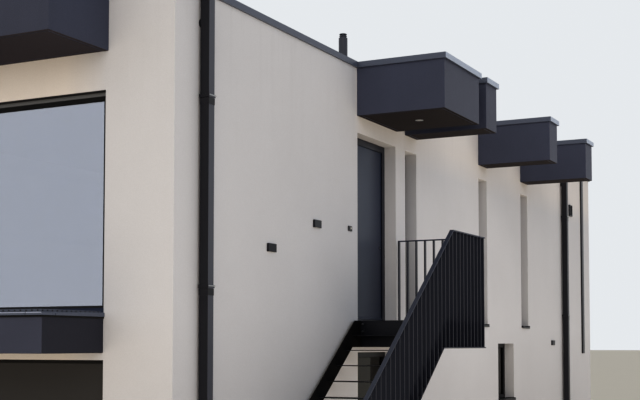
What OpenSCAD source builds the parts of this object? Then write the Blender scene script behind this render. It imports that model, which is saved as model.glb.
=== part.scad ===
// End house of a modern terraced row: two storeys, flat roof, box canopies
// and an outside steel stair to the entrance on the upper floor.
// Millimetres. X runs along the side wall from street to garden, Y from the
// side wall into the house, Z up. The origin is the middle of the house's base.

/* [House] */
// Length of the side wall, from street face to rear face
house_l = 15600; // [15500:50:18000]
// Width of the house, from side wall to party wall
house_w = 6000; // [5400:50:8000]
// Height of the finished roof edge above the ground
parapet_z = 5900; // [5800:10:6400]
// Height of the upper floor and of the stair landing
floor_z = 2680; // [2640:10:2760]
// Thickness of the outer walls
wall_t = 350; // [300:10:420]
// Thickness of the party wall
party_t = 250; // [150:10:350]
// Thickness of the ground slab
ground_slab_t = 120; // [80:10:200]
// Thickness of the upper floor
floor_t = 270; // [200:10:275]
// Thickness of the roof slab
roof_t = 250; // [180:10:280]
// Height of the roof's finished surface
roof_z = 5450; // [5400:10:5480]

/* [Copings] */
// Height of a coping's outer face
coping_h = 70; // [50:5:100]
// How far a coping stands out from the face below it
coping_out = 30; // [15:5:50]
// Thickness of a coping's top
coping_t = 15; // [8:1:25]
// Width of a coping on a canopy's edge
canopy_coping_w = 110; // [90:5:130]

/* [Canopies] */
// Underside of every canopy above the ground
canopy_z = 5230; // [5150:10:5400]
// How far the side wall's canopies stand out
canopy_out = 1160; // [800:10:1300]
// How far the street and rear canopies stand out
end_canopy_out = 890; // [600:10:1100]
// How far the street and rear canopies reach past the window openings
end_canopy_lap = 30; // [0:5:50]
// Depth of the roof tray in a canopy
tray_d = 60; // [30:5:100]
// Thickness of the edge around a canopy's tray
tray_edge = 90; // [70:5:100]

/* [Doorway] */
// Distance from the street face to the doorway
door_x = 4050; // [3950:10:4150]
// Width of the doorway
door_w = 1200; // [1100:10:1250]
// Height of the heads of door and slot windows
head_z = 5020; // [4900:10:5080]
// Depth from the wall's face to door and window frames
reveal = 160; // [100:5:200]
// Depth of door and window frames
frame_d = 80; // [70:5:100]
// Width of the door frame's face
door_face = 75; // [60:5:90]
// Depth of the lip that the door leaf closes against
door_lip = 10; // [6:1:16]
// How far the lip laps over the leaf
door_lap = 10; // [8:1:20]
// Thickness of the door leaf
leaf_t = 68; // [54:1:80]
// Gap between leaf and frame at the hinges, the head and the threshold
leaf_gap = 5; // [5:0.5:7]
// Gap between leaf and frame at the lock
lock_gap = 8; // [8:0.5:10]
// Height of the threshold
threshold_h = 20; // [12:1:30]
// Height of the lock above the floor
lock_h = 980; // [900:10:1100]
// Distance from the lock to the leaf's edge
lock_inset = 60; // [45:5:80]
// Diameter of the lock's rose
lock_d = 32; // [28:1:50]
// Diameter of a hinge pin
pin_d = 10; // [8:1:14]
// Outer diameter of a hinge knuckle
knuckle_d = 20; // [18:1:24]
// Height of one hinge knuckle
knuckle_h = 60; // [40:5:80]

/* [Windows] */
// Width of a slot window's opening
slot_w = 400; // [350:10:450]
// Distances from the street face to the slot windows
slot_x = [5580, 8580, 10795];
// Width of the face of window frames
frame_face = 50; // [40:5:70]
// Thickness of window glass
glass_t = 24; // [20:1:36]
// Height of the heads of the street and rear windows
wide_head_z = 4852; // [4700:2:4900]
// Width of the piers beside the street and rear openings
pier_w = 795; // [600:5:1000]
// Depth from the wall's face to the wide window frames
wide_reveal = 60; // [40:5:100]
// Height of the bottom rail of the wide windows
wide_rail = 66; // [60:2:100]
// Head of the lower openings at the street and the rear
garage_head_z = 2240; // [2150:10:2260]
// Depth from the wall's face to the garage door
garage_reveal = 110; // [60:5:160]
// Thickness of the garage door
garage_t = 42; // [36:1:60]
// Number of sections of the garage door
garage_sections = 4; // [3:1:5]
// Sill of the lower windows in the side wall
low_sill_z = 1458; // [1300:10:1600]
// Head of the window under the landing
low_head_z = 2292; // [2200:10:2300]
// Distance from the street face to the rear lower window
rear_low_x = 9495; // [9450:5:9550]
// Width of the rear lower window
rear_low_w = 838; // [700:2:900]
// Head of the rear lower window
rear_low_head_z = 2402; // [2300:2:2405]
// Thickness of a metal sill
sill_t = 20; // [12:1:30]
// How far a sill stands out from the wall
sill_out = 30; // [15:5:50]

/* [Ledges] */
// Underside of the ledge boxes under the wide windows
ledge_z = 2308; // [2280:2:2340]
// How far a ledge's cap stands above the upper floor at the wall
ledge_rise = 16; // [10:1:30]
// Drop of a ledge's cap from the wall to its nose
ledge_fall = 14; // [10:1:30]
// Thickness of a ledge's cap
ledge_cap_t = 18; // [12:1:24]
// How far a ledge's cap stands out at its ends
ledge_end_out = 14; // [10:1:40]
// Height of the nose round a ledge's cap
ledge_nose = 28; // [24:1:50]

/* [Stair] */
// Number of risers from the ground to the landing
risers = 15; // [13:1:17]
// Depth from one tread's nosing to the next
going = 232; // [220:2:250]
// Depth of a tread
tread_d = 262; // [255:1:280]
// Thickness of the plate treads and of the landing's deck
sheet_t = 8; // [6:1:12]
// Thickness of stringers and landing beams
plate_t = 12; // [10:1:16]
// Depth of a stringer, square to the slope
stringer_d = 212; // [190:2:240]
// Gap between the wall and the stair
stair_gap = 38; // [20:2:60]
// Distance from the wall to the outside of the outer stringer
stair_out = 1182; // [1000:2:1300]
// Depth of the landing's edge beams with their deck
landing_d = 323; // [280:1:340]
// Distance from the landing's end to the doorway's far side
landing_short = 20; // [5:5:40]

/* [Balustrade] */
// Height of the handrail above the landing
rail_h = 1080; // [1000:10:1100]
// Height of the sloping handrail above the line of the nosings
flight_rail_h = 1010; // [900:10:1080]
// Thickness of handrail and bottom rail
rail_t = 15; // [10:1:20]
// Width of the flat bars of the balustrade
bar_w = 50; // [40:1:60]
// Thickness of the flat bars
bar_t = 15; // [10:1:20]
// Spacing of the bars along the flight and the landing
bar_pitch = 125; // [110:1:140]
// Spacing of the bars across the landing's far end
end_bar_pitch = 123; // [110:1:140]

/* [Downpipes] */
// Side of the square downpipes
pipe_w = 100; // [80:5:110]
// Gap between wall and downpipe
pipe_gap = 25; // [15:1:40]
// Thickness of the downpipes' wall
pipe_t = 5; // [3:1:8]
// Distance from the street face to the middle of the front downpipe
front_pipe_x = 455; // [300:5:700]
// Distance from the rear face to the middle of the rear downpipe
rear_pipe_x = 2160; // [2000:5:2300]
// Heights of the brackets of the front and the rear downpipe
bracket_z = [[850, 2945, 4790], [850, 2945, 4870]];
// Diameter of the roof outlets
outlet_d = 76; // [60:2:90]
// Height of the roof outlets' middle
outlet_z = 5513; // [5500:1:5540]

/* [Fittings] */
// Width, depth and height of the small wall lamps
lamp_size = [170, 28, 90];
// Places of the two wall lamps by the entrance: distance from the street face and height
lamp_at = [[1765, 3378], [2839, 3731]];
// Place of the rear wall lamp: distance from the rear face and height
rear_lamp_at = [2960, 2373];
// Place of the door bell: distance from the street face and height
bell_at = [3768, 3800];
// Width, depth and height of the door bell
bell_size = [92, 18, 62];
// Place of the louvred vent: distance from the rear face and height
vent_at = [1612, 5055];
// Width, depth and height of the louvred vent
vent_size = [200, 28, 222];
// Distance from the rear face to the flat duct's middle
duct_x = 640; // [500:10:800]
// Width of the flat duct
duct_w = 140; // [80:5:180]
// Underside of the flat duct
duct_z = 2205; // [2000:5:2600]
// Diameter of the flue
flue_d = 125; // [100:5:150]
// Place of the flue from the side wall's face and the street face
flue_at = [5720, 1000];
// Height of the flue's top
flue_z = 6778; // [6500:2:7000]

/* [Hidden] */
$fn = 48;
eps = 1;                                    // overrun of a cut past a face
fit = 0.3;                                  // running clearance round a hinge pin
seat = 0.2;                                 // gap between the sloping rail and the bars that carry it
render_white = [0.87, 0.86, 0.84];
render_dark = [0.17, 0.18, 0.21];
metal_dark = [0.13, 0.135, 0.15];
coping_grey = [0.3, 0.32, 0.37];
glass_blue = [0.55, 0.62, 0.68, 0.45];
concrete_grey = [0.6, 0.6, 0.58];
slot_z = floor_z;                           // slot windows and door start at the floor
pipe_x = [front_pipe_x, house_l - rear_pipe_x];
wall_top = parapet_z - coping_t;            // top of the masonry under the coping
party_y = house_w - party_t;                // inner face of the party wall
door_end = door_x + door_w;
opening_w = house_w - 2 * pier_w;           // wide openings at the street and the rear
end_canopy_x = pier_w - end_canopy_lap;
end_canopy_w = opening_w + 2 * end_canopy_lap;
door_canopy_x = door_x - 10;
door_canopy_w = door_w + 50;
slot_canopy_w = slot_w + 25;
slot_canopy_shift = 5;                      // a slot's canopy starts this far before the slot
riser = floor_z / risers;
slope = riser / going;
stair_top = door_canopy_x;                  // landing edge, in line with the canopy above
landing_l = door_end - landing_short - stair_top;
stair_foot = stair_top - (risers - 1) * going;
string_half = stringer_d / 2 / cos(atan(slope));
tread_w = stair_out - plate_t - (stair_gap + plate_t);
knee_x = stair_top - (landing_d - string_half) / slope; // a stringer's bottom edge levels out here
rail_under = string_half + rail_t;          // bottom rail below the nosing line
landing_under = floor_z - landing_d - rail_t; // underside of the landing's bottom rail
rail_knee = stair_top + (rail_h - flight_rail_h) / slope; // the sloping handrail levels out here
leaf_x0 = door_x + door_face + leaf_gap;
leaf_x1 = door_end - door_face - lock_gap;
leaf_y0 = reveal + door_lip + leaf_gap;
leaf_z0 = floor_z + threshold_h + leaf_gap;
leaf_z1 = head_z - door_face - leaf_gap;
hinge_x = leaf_x0 - 8;
hinge_y = leaf_y0 + leaf_t + knuckle_d / 2;
hinge_z = [leaf_z0 + 250, (leaf_z0 + leaf_z1) / 2, leaf_z1 - 250];
frame_back = leaf_y0 + leaf_t - 3;          // the door frame ends just inside the leaf's back face

// moves the house so that the middle of its base is the origin
module placed() translate([-house_l / 2, -house_w / 2, 0]) children();

// local axes on a face of the house: x along the face, y out of it, z up
module on_side() placed() mirror([0, 1, 0]) children();
module on_street() placed() rotate([0, 0, 90]) children();
module on_rear() placed() translate([house_l, house_w, 0]) rotate([0, 0, -90]) children();

// a box given by its two corners
module block(a, b) translate(a) cube(b - a);

function pitch_z(x) = floor_z - (stair_top - x) * slope;

module ground_slab() color(concrete_grey) placed() difference() {
    block([0, wall_t, 0], [house_l, party_y, ground_slab_t]);
    for (x = [-eps, house_l - wall_t])
        for (y = [[wall_t - eps, pier_w], [house_w - pier_w, party_y + eps]])
            block([x, y[0], -eps], [x + wall_t + eps, y[1], ground_slab_t + eps]);
}

module upper_floor() color(concrete_grey) placed()
    block([wall_t, wall_t, floor_z - floor_t], [house_l - wall_t, party_y, floor_z]);

module roof_slab() color(concrete_grey) placed()
    block([wall_t, wall_t, roof_z - roof_t], [house_l - wall_t, party_y, roof_z]);

module party_wall() color(concrete_grey) placed()
    block([0, party_y, 0], [house_l, house_w, wall_top]);

// hole for a roof outlet through the side wall's parapet
module outlet_hole(x) translate([x, -eps, outlet_z]) rotate([-90, 0, 0])
    cylinder(d = outlet_d + 2, h = wall_t + 2 * eps);

module side_wall_front() color(render_white) placed() difference() {
    block([0, 0, 0], [door_x, wall_t, wall_top]);
    outlet_hole(pipe_x[0]);
}

module side_wall_under_door() color(render_white) placed() {
    block([door_x, 0, 0], [door_end, wall_t, low_sill_z]);
    block([door_x, 0, low_head_z], [door_end, wall_t, floor_z]);
}

module side_wall_over_door() color(render_white) placed()
    block([door_x, 0, head_z], [door_end, wall_t, wall_top]);

module side_wall_rear() color(render_white) placed() difference() {
    block([door_end, 0, 0], [house_l, wall_t, wall_top]);
    for (x = slot_x) block([x, -eps, slot_z], [x + slot_w, wall_t + eps, head_z]);
    block([rear_low_x, -eps, low_sill_z], [rear_low_x + rear_low_w, wall_t + eps, rear_low_head_z]);
    outlet_hole(pipe_x[1]);
}

// the two piers of an end wall, in face axes
module piers() {
    block([wall_t, -wall_t, 0], [pier_w, 0, wall_top]);
    block([house_w - pier_w, -wall_t, 0], [party_y, 0, wall_top]);
}

// the bands of an end wall over its lower and its upper opening
module bands() {
    block([pier_w, -wall_t, garage_head_z], [house_w - pier_w, 0, floor_z]);
    block([pier_w, -wall_t, wide_head_z], [house_w - pier_w, 0, wall_top]);
}

module street_piers() color(render_white) on_street() piers();
module street_bands() color(render_white) on_street() bands();
module rear_piers() color(render_white) placed() translate([house_l, 0, 0]) mirror([1, 0, 0])
    rotate([0, 0, 90]) piers();
module rear_bands() color(render_white) on_rear() bands();

// one coping all round the roof, seated on the walls
module parapet_coping() color(coping_grey) placed() difference() {
    block([-coping_out, -coping_out, parapet_z - coping_h],
          [house_l + coping_out, house_w, parapet_z]);
    block([0, 0, parapet_z - coping_h - eps], [house_l, house_w + eps, wall_top]);
    block([wall_t, wall_t, parapet_z - coping_h - eps], [house_l - wall_t, party_y, parapet_z + eps]);
    side_canopies() block([0, 0, 0], [$w, coping_out + eps, wall_top]);
    end_canopies() block([0, 0, 0], [$w, coping_out + eps, wall_top]);
}

// puts its children at each side canopy's corner, in face axes with $w as the width
module side_canopies() mirror([0, 1, 0]) {
    translate([door_canopy_x, 0, 0]) { $w = door_canopy_w; children(); }
    for (x = slot_x) translate([x - slot_canopy_shift, 0, 0]) { $w = slot_canopy_w; children(); }
}

module end_canopies() {
    $w = end_canopy_w;
    rotate([0, 0, 90]) translate([end_canopy_x, 0, 0]) children();
    translate([house_l, house_w, 0]) rotate([0, 0, -90]) translate([end_canopy_x, 0, 0]) children();
}

// a box canopy with a shallow roof tray in its top
module canopy(w, out) difference() {
    block([0, 0, canopy_z], [w, out, wall_top]);
    block([tray_edge, -eps, wall_top - tray_d], [w - tray_edge, out - tray_edge, wall_top + eps]);
}

// the coping on three edges of a canopy
module canopy_coping(w, out) difference() {
    block([-coping_out, coping_out, parapet_z - coping_h], [w + coping_out, out + coping_out, parapet_z]);
    block([0, 0, parapet_z - coping_h - eps], [w, out, wall_top]);
    block([canopy_coping_w, 0, wall_top - eps],
          [w - canopy_coping_w, out - canopy_coping_w, parapet_z + eps]);
}

module canopy_copings() color(coping_grey) placed() {
    side_canopies() canopy_coping($w, canopy_out);
    end_canopies() canopy_coping($w, end_canopy_out);
}

module slot_canopy(i) color(render_dark) on_side()
    translate([slot_x[i] - slot_canopy_shift, 0, 0]) canopy(slot_canopy_w, canopy_out);

module door_canopy() color(render_dark) on_side() translate([door_canopy_x, 0, 0]) difference() {
    canopy(door_canopy_w, canopy_out);
    translate([door_canopy_w / 2, canopy_out / 2, canopy_z - eps]) cylinder(d = 84, h = 61);
}

module slot_canopy_1() slot_canopy(0);
module slot_canopy_2() slot_canopy(1);
module slot_canopy_3() slot_canopy(2);
module street_canopy() color(render_dark) on_street() translate([end_canopy_x, 0, 0])
    canopy(end_canopy_w, end_canopy_out);
module rear_canopy() color(render_dark) on_rear() translate([end_canopy_x, 0, 0])
    canopy(end_canopy_w, end_canopy_out);

// height of a ledge cap's top at a distance from the wall
function ledge_top(y) = floor_z + ledge_rise - ledge_fall * y / (end_canopy_out + coping_out);

// a slab of a ledge in face axes, from y0 to y1 and from z up to the cap's slope, lowered by drop
module ledge_slab(y0, y1, z, drop, over = 0) translate([pier_w - over, 0, 0]) rotate([90, 0, 90])
    linear_extrude(opening_w + 2 * over)
        polygon([[y0, z], [y1, z], [y1, ledge_top(y1) - drop], [y0, ledge_top(y0) - drop]]);

// a ledge box under a wide window, its top sloping outwards under the cap
module ledge() ledge_slab(0, end_canopy_out, ledge_z, ledge_cap_t);

// a sheet metal cap on a ledge, with a nose on its three free sides
module ledge_cap() difference() {
    y1 = end_canopy_out + coping_out;
    ledge_slab(0, y1, ledge_top(y1) - ledge_nose, 0, ledge_end_out);
    ledge_slab(-eps, end_canopy_out, ledge_z, ledge_cap_t);
}

module street_ledge() color(render_dark) on_street() ledge();
module rear_ledge() color(render_dark) on_rear() ledge();
module ledge_caps() color(coping_grey) { on_street() ledge_cap(); on_rear() ledge_cap(); }

// a window frame in face axes: opening from x0 to x1 and z0 to z1, n panes side by side
module window_frame(x0, x1, z0, z1, deep, n = 1, bottom = frame_face) difference() {
    block([x0, -deep - frame_d, z0], [x1, -deep, z1]);
    panes(x0, x1, z0, z1, n, bottom)
        block([0, -deep - frame_d - eps, 0], [$w, -deep + eps, $h]);
}

// puts its children at each pane's corner, with $w and $h as its size
module panes(x0, x1, z0, z1, n, bottom) {
    $w = (x1 - x0 - (n + 1) * frame_face) / n;
    $h = z1 - z0 - bottom - frame_face;
    for (i = [0:n - 1])
        translate([x0 + frame_face + i * ($w + frame_face), 0, z0 + bottom]) children();
}

module window_glass(x0, x1, z0, z1, deep, n = 1, bottom = frame_face)
    panes(x0, x1, z0, z1, n, bottom)
        block([0, -deep - frame_d / 2 - glass_t / 2, 0], [$w, -deep - frame_d / 2 + glass_t / 2, $h]);

module wide_window(glass = false) {
    x1 = house_w - pier_w;
    if (glass) window_glass(pier_w, x1, floor_z, wide_head_z, wide_reveal, 2, wide_rail);
    else window_frame(pier_w, x1, floor_z, wide_head_z, wide_reveal, 2, wide_rail);
}

module wide_window_frames() color(metal_dark) { on_street() wide_window(); on_rear() wide_window(); }

module slot_window_frames() color(metal_dark) on_side()
    for (x = slot_x) window_frame(x, x + slot_w, slot_z + sill_t, head_z, reveal);

module low_window_frames() color(metal_dark) {
    on_side() {
        window_frame(door_x, door_end, low_sill_z + sill_t, low_head_z, reveal);
        window_frame(rear_low_x, rear_low_x + rear_low_w, low_sill_z + sill_t, rear_low_head_z, reveal);
    }
    on_rear() window_frame(pier_w, house_w - pier_w, ground_slab_t, garage_head_z, garage_reveal, 3);
}

module upper_glass() color(glass_blue) {
    on_side() for (x = slot_x) window_glass(x, x + slot_w, slot_z + sill_t, head_z, reveal);
    on_street() wide_window(true);
    on_rear() wide_window(true);
}

module lower_glass() color(glass_blue) {
    on_side() {
        window_glass(door_x, door_end, low_sill_z + sill_t, low_head_z, reveal);
        window_glass(rear_low_x, rear_low_x + rear_low_w, low_sill_z + sill_t, rear_low_head_z, reveal);
    }
    on_rear() window_glass(pier_w, house_w - pier_w, ground_slab_t, garage_head_z, garage_reveal, 3);
}

module sill(x0, x1, z) block([x0, -reveal - frame_d, z], [x1, sill_out, z + sill_t]);

module window_sills() color(metal_dark) on_side() {
    for (x = slot_x) sill(x, x + slot_w, slot_z);
    sill(door_x, door_end, low_sill_z);
    sill(rear_low_x, rear_low_x + rear_low_w, low_sill_z);
}

// a flat sectional door with a narrow groove between sections
module garage_door() color(metal_dark) on_street() {
    section_h = (garage_head_z - ground_slab_t) / garage_sections;
    groove = 8;
    difference() {
        block([pier_w, -garage_reveal - garage_t, ground_slab_t],
              [house_w - pier_w, -garage_reveal, garage_head_z]);
        for (i = [1:garage_sections - 1])
            block([pier_w - eps, -garage_reveal - groove, ground_slab_t + i * section_h - groove / 2],
                  [house_w - pier_w + eps, -garage_reveal + eps, ground_slab_t + i * section_h + groove / 2]);
    }
}

// the frame's jambs and head, its lip towards the outside and the threshold
module door_frame() color(metal_dark) placed() {
    difference() {
        block([door_x, reveal, floor_z], [door_end, frame_back, head_z]);
        block([door_x + door_face, reveal + door_lip, floor_z + threshold_h],
              [door_end - door_face, frame_back + eps, head_z - door_face]);
        block([door_x + door_face + door_lap, reveal - eps, floor_z + threshold_h],
              [door_end - door_face - door_lap, reveal + door_lip + eps, head_z - door_face - door_lap]);
    }
    for (z = hinge_z) {
        translate([hinge_x, hinge_y, z - knuckle_h]) cylinder(d = knuckle_d, h = knuckle_h);
        block([door_x + 20, frame_back - eps, z - knuckle_h], [hinge_x, hinge_y, z]);
        translate([hinge_x, hinge_y, z - knuckle_h]) cylinder(d = pin_d, h = 2 * knuckle_h);
    }
}

module door_leaf() color(metal_dark) placed() {
    block([leaf_x0, leaf_y0, leaf_z0], [leaf_x1, leaf_y0 + leaf_t, leaf_z1]);
    for (z = hinge_z) difference() {
        union() {
            translate([hinge_x, hinge_y, z + fit]) cylinder(d = knuckle_d, h = knuckle_h - 2 * fit);
            block([hinge_x, leaf_y0 + leaf_t - eps, z + fit], [hinge_x + 60, hinge_y, z + knuckle_h - fit]);
        }
        translate([hinge_x, hinge_y, z - eps]) cylinder(d = pin_d + 2 * fit, h = knuckle_h + 2 * eps);
    }
}

module door_lock() color(coping_grey) placed()
    for (y = [leaf_y0 - 6, leaf_y0 + leaf_t])
        translate([leaf_x1 - lock_inset, y, floor_z + lock_h]) rotate([-90, 0, 0])
            cylinder(d = lock_d, h = 6);

// a plate stringer, cut level at the landing and upright at the foot, with a level knee under the landing
module stringer_profile() polygon([
    [stair_foot - going, 0],
    [stair_foot - going + string_half / slope, 0],
    [knee_x, floor_z - landing_d],
    [stair_top, floor_z - landing_d],
    [stair_top, floor_z],
    [stair_top - string_half / slope, floor_z],
    [stair_foot - going, string_half]]);

module stair_stringers() color(metal_dark) on_side()
    for (y = [stair_gap, stair_out - plate_t])
        translate([0, y + plate_t, 0]) rotate([90, 0, 0]) linear_extrude(plate_t) stringer_profile();

// plate treads with open risers; the top one stops at the landing's beam
module stair_treads() color(metal_dark) on_side()
    for (i = [1:risers - 1])
        translate([stair_top - i * going, stair_gap + plate_t, floor_z - i * riser - sheet_t])
            cube([i == 1 ? going : tread_d, tread_w, sheet_t]);

// edge beams and two joists of the landing
module landing_frame() color(metal_dark) on_side() translate([stair_top, 0, floor_z - landing_d]) {
    beam_h = landing_d - sheet_t;
    for (x = [0, landing_l - plate_t]) translate([x, 0, 0]) cube([plate_t, stair_out, beam_h]);
    for (y = [0, stair_out - plate_t]) translate([0, y, 0]) cube([landing_l, plate_t, beam_h]);
    for (i = [1:2]) translate([i * landing_l / 3, 0, beam_h - 120]) cube([plate_t, stair_out, 120]);
}

module landing_deck() color(metal_dark) on_side() translate([stair_top, 0, floor_z - sheet_t])
    cube([landing_l, stair_out, sheet_t]);

// the outer bars stand at even steps back from the landing's far corner, numbered from there
function bar_x(i) = stair_top + landing_l - bar_t - i * bar_pitch;
landing_bars = floor((landing_l - bar_t) / bar_pitch);
last_bar = floor((bar_x(0) - stair_foot) / bar_pitch);
end_bars = floor((stair_out - stair_gap - bar_t) / end_bar_pitch);

// where a bar of the flight ends, inside the bottom rail
function foot_z(x) = min(pitch_z(x) - rail_under, landing_under) + rail_t / 2;

// where a bar ends under the handrail
function bar_top(x) = min(floor_z + rail_h - rail_t, pitch_z(x) + flight_rail_h - rail_t - seat);

// an upright bar or a rail of the flight, its profile drawn in the plane of the balustrade
module flight_flat(points) translate([0, stair_out + bar_w, 0]) rotate([90, 0, 0])
    linear_extrude(bar_w) polygon(points);

module flight_bar(x, x1) flight_flat([[x, foot_z(x)], [x1, foot_z(x1)], [x1, bar_top(x1)], [x, bar_top(x)]]);

// an upright bar of the landing, cut to the slope where the sloping handrail passes over it
module landing_bar(x, x1) flight_flat([
    [x, landing_under], [x1, landing_under], [x1, bar_top(x1)], [x, bar_top(x)]]);

// a sloping flat rail, its underside low above the nosing line
module flight_rail(x0, x1, low) flight_flat([
    [x0, pitch_z(x0) + low], [x1, pitch_z(x1) + low],
    [x1, pitch_z(x1) + low + rail_t], [x0, pitch_z(x0) + low + rail_t]]);

// the flight's bars on their sloping bottom rail, which levels out with the stringer
module flight_balustrade() color(metal_dark) on_side() {
    for (i = [landing_bars + 1:last_bar]) flight_bar(bar_x(i), bar_x(i) + bar_t);
    flight_rail(bar_x(last_bar), knee_x, -rail_under);
    block([knee_x, stair_out, landing_under], [stair_top, stair_out + bar_w, landing_under + rail_t]);
}

// bars and bottom rail along the landing's outer edge and its far end
module landing_balustrade() color(metal_dark) on_side() {
    end_x = stair_top + landing_l;
    out = stair_out + bar_w;
    top = floor_z + rail_h - rail_t;
    for (i = [0:landing_bars]) landing_bar(bar_x(i), bar_x(i) + bar_t);
    for (y = [for (i = [0:end_bars]) stair_gap + i * end_bar_pitch])
        block([end_x, y, landing_under], [end_x + bar_w, y + bar_t, top]);
    block([stair_top, stair_out, landing_under], [end_x + bar_w, out, landing_under + rail_t]);
    block([end_x, stair_gap, landing_under], [end_x + bar_w, out, landing_under + rail_t]);
}

module handrail() color(metal_dark) on_side() {
    top = floor_z + rail_h;
    end_x = stair_top + landing_l + bar_w;
    flight_rail(bar_x(last_bar), rail_knee, flight_rail_h - rail_t);
    block([rail_knee, stair_out, top - rail_t], [end_x, stair_out + bar_w, top]);
    block([stair_top + landing_l, stair_gap, top - rail_t], [end_x, stair_out + bar_w, top]);
}

// a square downpipe from under the coping to the ground, with its brackets
module downpipe(i) color(metal_dark) on_side() translate([pipe_x[i] - pipe_w / 2, pipe_gap, 0]) {
    top = parapet_z - coping_h - 20;
    grip = 8;
    difference() {
        union() {
            cube([pipe_w, pipe_w, top]);
            for (z = bracket_z[i]) {
                block([-grip, -grip, z - 15], [pipe_w + grip, pipe_w + grip, z + 15]);
                block([pipe_w / 2 - 10, -pipe_gap, z - 10], [pipe_w / 2 + 10, 0, z + 10]);
            }
        }
        block([pipe_t, pipe_t, -eps], [pipe_w - pipe_t, pipe_w - pipe_t, top - pipe_t]);
        translate([pipe_w / 2, -eps, outlet_z]) rotate([-90, 0, 0])
            cylinder(d = outlet_d - 20, h = pipe_t + 2 * eps);
    }
}

module front_downpipe() downpipe(0);
module rear_downpipe() downpipe(1);

// round spouts through the parapet into the downpipes, each with a rose on the wall
module roof_outlets() color(metal_dark) on_side()
    for (x = pipe_x) translate([x, 0, outlet_z]) rotate([-90, 0, 0]) difference() {
        union() {
            translate([0, 0, -wall_t]) cylinder(d = outlet_d, h = wall_t + pipe_gap);
            cylinder(d = outlet_d + 14, h = 8);
        }
        translate([0, 0, -wall_t - eps]) cylinder(d = outlet_d - 12, h = wall_t + pipe_gap + 2 * eps);
    }

module wall_lamps() color(metal_dark) on_side()
    for (p = [lamp_at[0], lamp_at[1], [house_l - rear_lamp_at[0], rear_lamp_at[1]]])
        translate([p[0], 0, p[1]]) cube(lamp_size);

module door_bell() color(metal_dark) on_side()
    translate([bell_at[0], 0, bell_at[1] - bell_size[2] / 2]) cube(bell_size);

// a square cover with sloping louvres
module wall_vent() color(metal_dark) on_side()
    translate([house_l - vent_at[0], 0, vent_at[1] - vent_size[2] / 2]) {
        rim = 12;
        louvres = 7;
        lip = vent_size[1] - 5;
        step = (vent_size[2] - 2 * rim) / louvres;
        difference() {
            cube(vent_size);
            translate([rim, 7, rim]) cube([vent_size[0] - 2 * rim, vent_size[1], vent_size[2] - 2 * rim]);
        }
        for (i = [0:louvres - 1]) translate([rim - eps, 0, rim + i * step]) rotate([90, 0, 90])
            linear_extrude(vent_size[0] - 2 * rim + 2 * eps)
                polygon([[6, step * 0.6], [lip, step * 0.1], [lip, step * 0.4], [6, step * 0.95]]);
    }

module wall_duct() color(metal_dark) on_side() translate([house_l - duct_x, 0, 0])
    block([-duct_w / 2, 0, duct_z], [duct_w / 2, 30, parapet_z - coping_h]);

module canopy_downlight() color(coping_grey) on_side()
    translate([door_canopy_x + door_canopy_w / 2, canopy_out / 2, canopy_z]) difference() {
        union() {
            cylinder(d = 84, h = 60);
            translate([0, 0, -3]) cylinder(d = 104, h = 3);
        }
        translate([0, 0, -3 - eps]) cylinder(d = 66, h = 30);
    }

// a round flue with a base collar, a neck and a cap over an air gap
module flue() color(metal_dark) placed() translate([flue_at[0], flue_at[1], roof_z]) {
    h = flue_z - roof_z;
    tube = flue_d / 2;
    neck = flue_d * 0.36;
    cap = flue_d * 0.43;
    rotate_extrude() polygon([
        [0, 0], [flue_d, 0], [flue_d, 12], [tube + 6, 60], [tube, 60], [tube, h - 61],
        [neck, h - 61], [neck, h - 42], [cap, h - 42], [cap, h - 34], [neck * 0.8, h - 34],
        [neck * 0.8, h - 16], [cap, h - 16], [cap, h - 6], [cap - 8, h], [0, h]]);
}

ground_slab();
upper_floor();
roof_slab();
party_wall();
side_wall_front();
side_wall_under_door();
side_wall_over_door();
side_wall_rear();
street_piers();
street_bands();
rear_piers();
rear_bands();
parapet_coping();
canopy_copings();
door_canopy();
slot_canopy_1();
slot_canopy_2();
slot_canopy_3();
street_canopy();
rear_canopy();
street_ledge();
rear_ledge();
ledge_caps();
door_frame();
door_leaf();
door_lock();
wide_window_frames();
slot_window_frames();
low_window_frames();
upper_glass();
lower_glass();
garage_door();
window_sills();
stair_stringers();
stair_treads();
landing_frame();
landing_deck();
flight_balustrade();
landing_balustrade();
handrail();
front_downpipe();
rear_downpipe();
roof_outlets();
wall_lamps();
door_bell();
wall_vent();
wall_duct();
canopy_downlight();
flue();
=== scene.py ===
"""Finishes of a modern end-of-terrace house.

Rendered walls and box canopies, coated copings, glass, an entrance door and an
outside steel stair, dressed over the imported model, on a plain pale stage.
"""

import math
from functools import partial

import bmesh
import bpy
from mathutils import Matrix, Vector


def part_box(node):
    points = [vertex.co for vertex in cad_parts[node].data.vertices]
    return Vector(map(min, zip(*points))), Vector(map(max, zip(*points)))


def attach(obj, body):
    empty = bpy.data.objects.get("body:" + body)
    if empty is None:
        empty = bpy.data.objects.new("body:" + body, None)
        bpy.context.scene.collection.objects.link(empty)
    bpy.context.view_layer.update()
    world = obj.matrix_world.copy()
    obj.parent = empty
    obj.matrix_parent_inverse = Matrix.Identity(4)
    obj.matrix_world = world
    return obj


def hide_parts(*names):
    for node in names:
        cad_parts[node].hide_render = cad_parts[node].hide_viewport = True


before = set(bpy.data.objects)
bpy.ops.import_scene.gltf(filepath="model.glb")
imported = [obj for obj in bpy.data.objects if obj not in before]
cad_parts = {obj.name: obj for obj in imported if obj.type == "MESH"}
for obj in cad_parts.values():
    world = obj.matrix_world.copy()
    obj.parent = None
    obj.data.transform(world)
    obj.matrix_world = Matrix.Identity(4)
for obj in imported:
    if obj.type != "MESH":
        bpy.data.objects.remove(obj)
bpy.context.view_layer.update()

bl_info = {
    "name": "End house finishes",
    "version": (1, 0, 0),
    "blender": (4, 5, 0),
    "location": "View3D > Sidebar > End house",
    "description": "Finishes and fine detail of a rendered end-of-terrace house",
    "category": "Object",
}

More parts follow.
